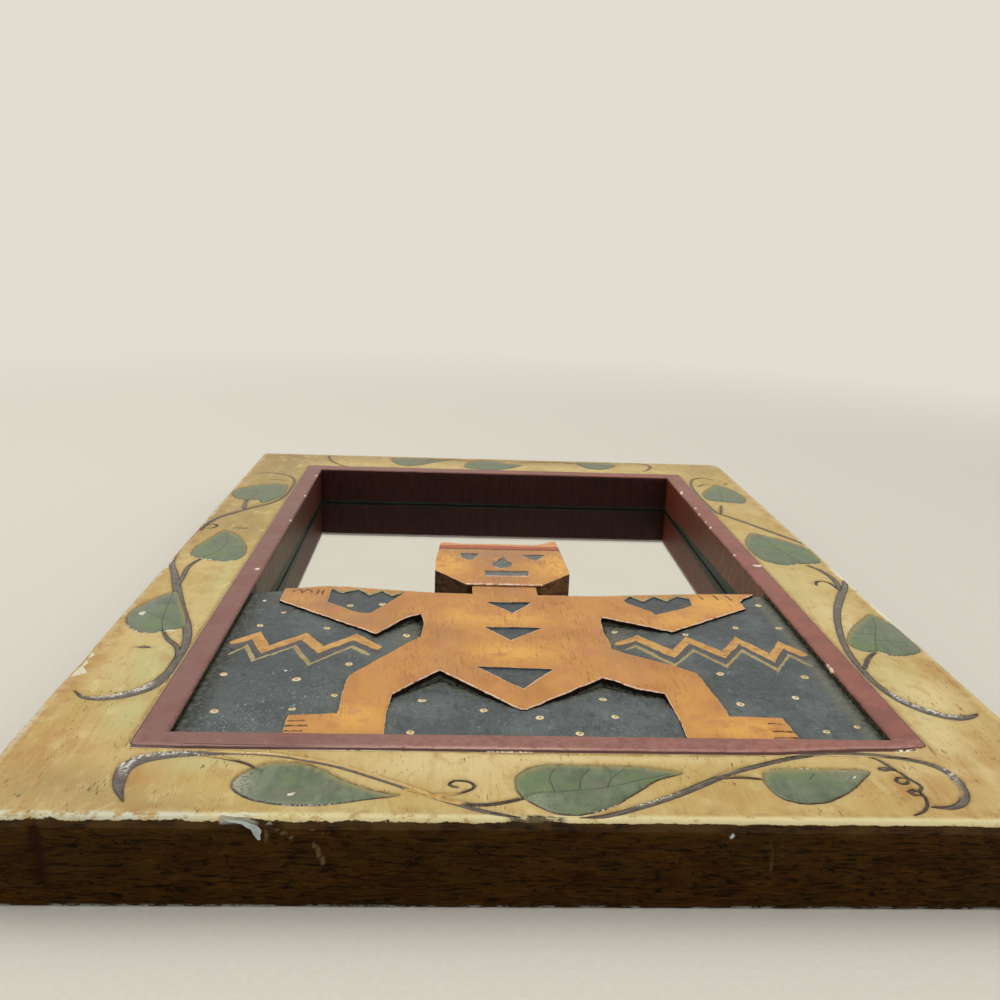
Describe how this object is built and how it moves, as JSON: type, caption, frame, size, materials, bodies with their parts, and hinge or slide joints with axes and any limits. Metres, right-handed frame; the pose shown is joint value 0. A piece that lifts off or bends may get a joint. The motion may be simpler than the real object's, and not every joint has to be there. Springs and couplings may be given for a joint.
{
  "type": "wall mirror",
  "caption": "Painted wooden wall mirror with a wide butted frame, a mitred liner and a relief-carved panel whose standing figure's head reaches over the glass.",
  "frame": {"origin": "middle of the back face, on the surface that the mirror lies on", "axes": "+Z out of the mirror's face, +Y towards its top edge, +X to the right as the face is seen"},
  "size_m": [0.35, 0.485, 0.0316],
  "materials": {
    "frame_paint": "painted, antiqued",
    "liner_paint": "painted, satin",
    "panel_paint": "painted, antiqued",
    "beech": "raw",
    "silvered_glass": "polished",
    "hardboard": "raw",
    "brass": "satin",
    "steel": "zinc plated"
  },
  "bodies": {
    "frame": {"left_stile": "frame_paint", "right_stile": "frame_paint", "top_rail": "frame_paint", "bottom_rail": "frame_paint", "corner_dowels": "beech", "liner_left": "liner_paint", "liner_right": "liner_paint", "liner_top": "liner_paint", "liner_bottom": "liner_paint", "mirror_glass": "silvered_glass", "backing_board": "hardboard", "carved_panel": "panel_paint", "panel_dowels": "beech", "button_screws": "steel", "hanger_left": "steel", "hanger_right": "steel", "hanger_screws": "steel"},
    "turn_button_1": {"turn_button_1": "brass"},
    "turn_button_2": {"turn_button_2": "brass"},
    "turn_button_3": {"turn_button_3": "brass"},
    "turn_button_4": {"turn_button_4": "brass"},
    "turn_button_5": {"turn_button_5": "brass"},
    "turn_button_6": {"turn_button_6": "brass"}
  },
  "joints": [
    {"name": "turn_button_1_pivot", "type": "hinge", "parent": "frame", "child": "turn_button_1", "pos_m": [-0.143, -0.12, 0.0014], "axis": [0, 0, 1], "range_deg": [-90, 90]},
    {"name": "turn_button_2_pivot", "type": "hinge", "parent": "frame", "child": "turn_button_2", "pos_m": [-0.143, 0.12, 0.0014], "axis": [0, 0, 1], "range_deg": [-90, 90]},
    {"name": "turn_button_3_pivot", "type": "hinge", "parent": "frame", "child": "turn_button_3", "pos_m": [0.143, -0.12, 0.0014], "axis": [0, 0, 1], "range_deg": [-90, 90]},
    {"name": "turn_button_4_pivot", "type": "hinge", "parent": "frame", "child": "turn_button_4", "pos_m": [0.143, 0.12, 0.0014], "axis": [0, 0, 1], "range_deg": [-90, 90]},
    {"name": "turn_button_5_pivot", "type": "hinge", "parent": "frame", "child": "turn_button_5", "pos_m": [0, 0.2105, 0.0014], "axis": [0, 0, 1], "range_deg": [-90, 90]},
    {"name": "turn_button_6_pivot", "type": "hinge", "parent": "frame", "child": "turn_button_6", "pos_m": [0, -0.2105, 0.0014], "axis": [0, 0, 1], "range_deg": [-90, 90]}
  ]
}
